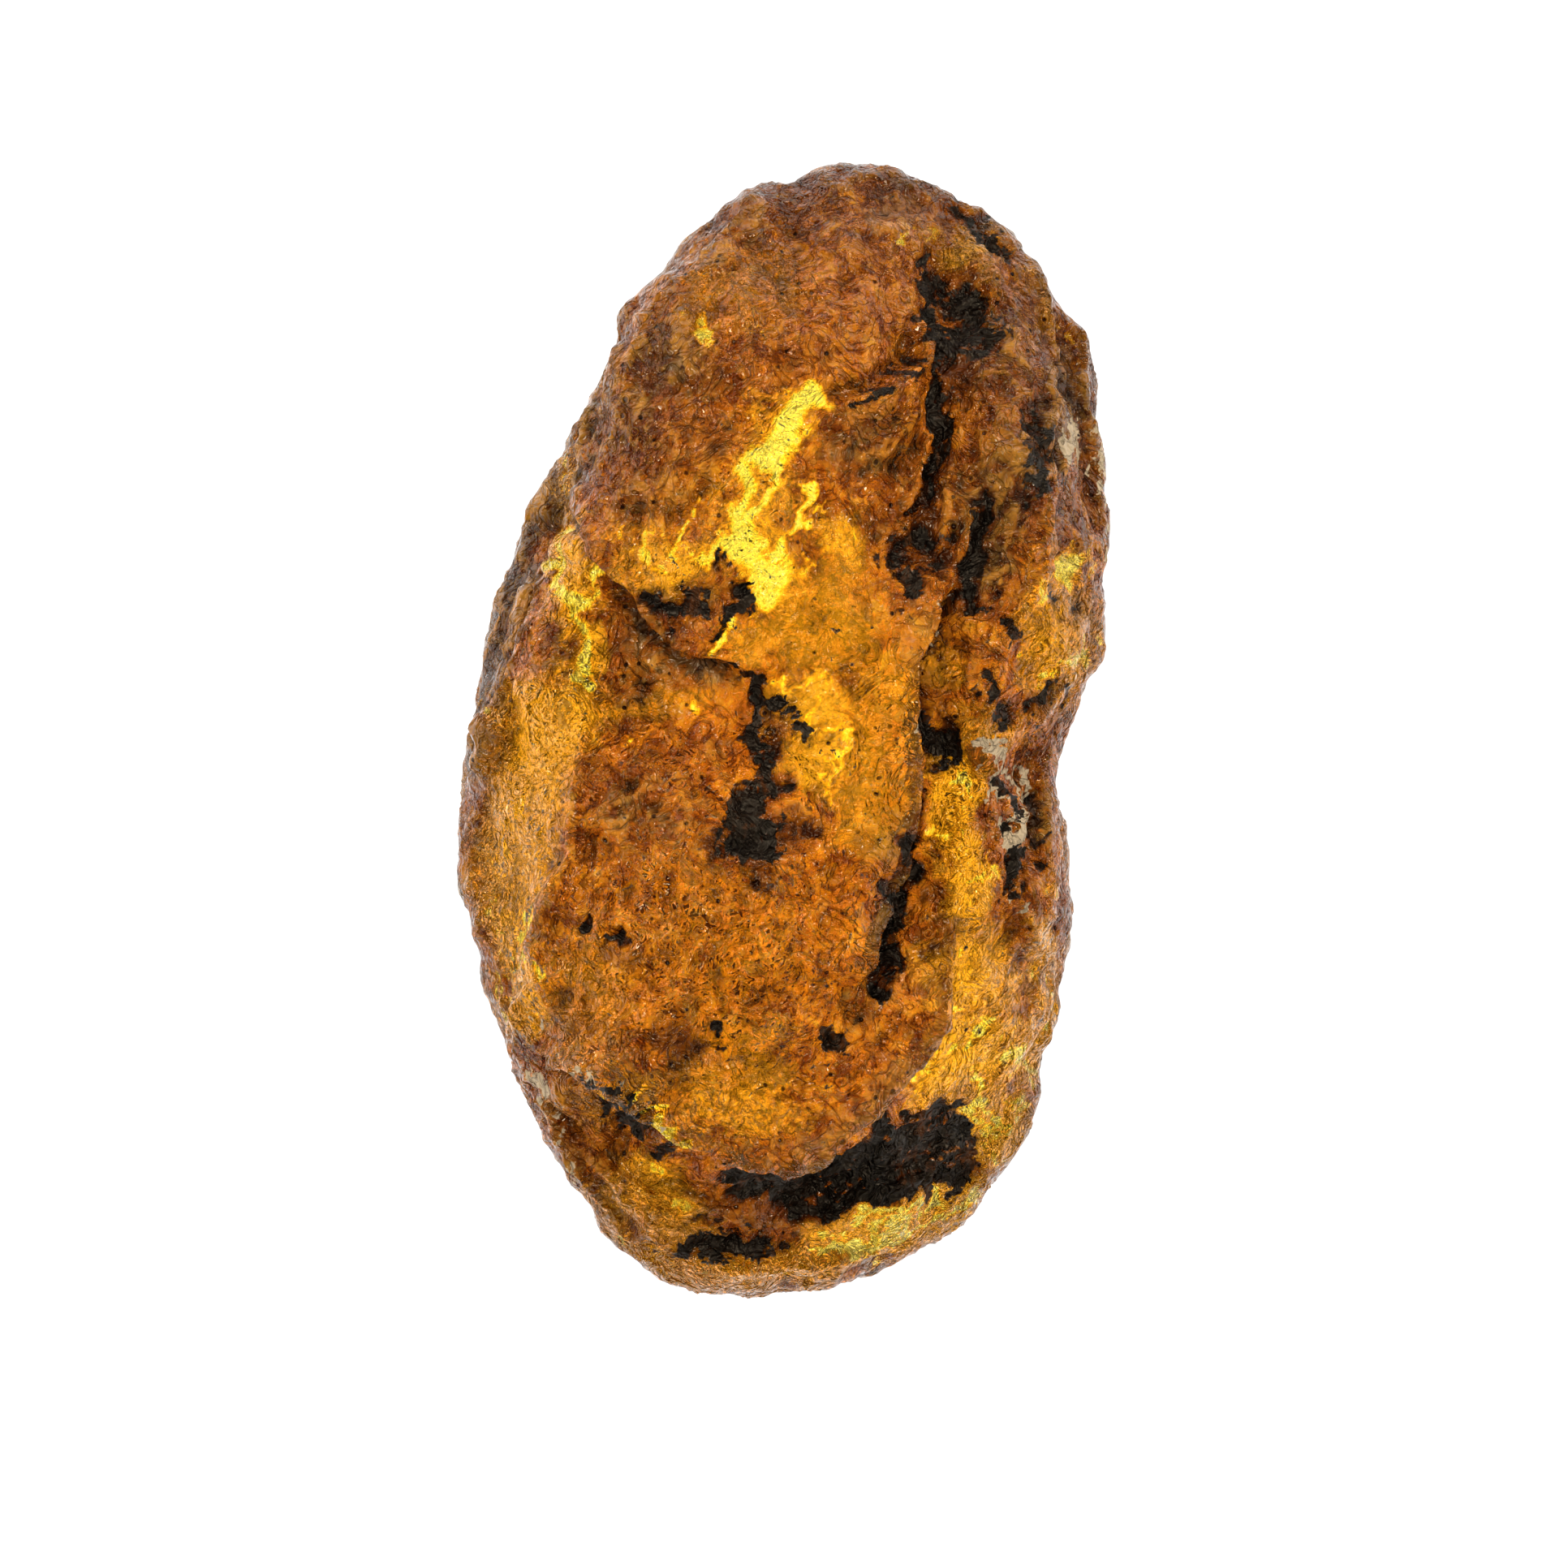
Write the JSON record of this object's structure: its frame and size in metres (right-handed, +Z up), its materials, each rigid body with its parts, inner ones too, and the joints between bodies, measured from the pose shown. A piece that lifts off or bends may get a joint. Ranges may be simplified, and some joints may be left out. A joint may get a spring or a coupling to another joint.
{
  "type": "raw amber piece",
  "caption": "Rough nodule of raw amber: a lumpy, flattened egg of see-through golden resin with folded lips, furrows, pits and a broken dark crust, lying on a small worn flat.",
  "frame": {"origin": "centre of the bounding box at its lowest level, which is the worn flat that the nodule lies on", "axes": "+Z up out of the best side, +Y along the nodule towards its rounded head, +X across it"},
  "size_m": [0.0344, 0.0598, 0.0258],
  "materials": {
    "amber": "see-through golden resin, glossy and finely wrinkled, with red-brown and black crust"
  },
  "bodies": {
    "root": {"amber": "amber"}
  },
  "joints": []
}
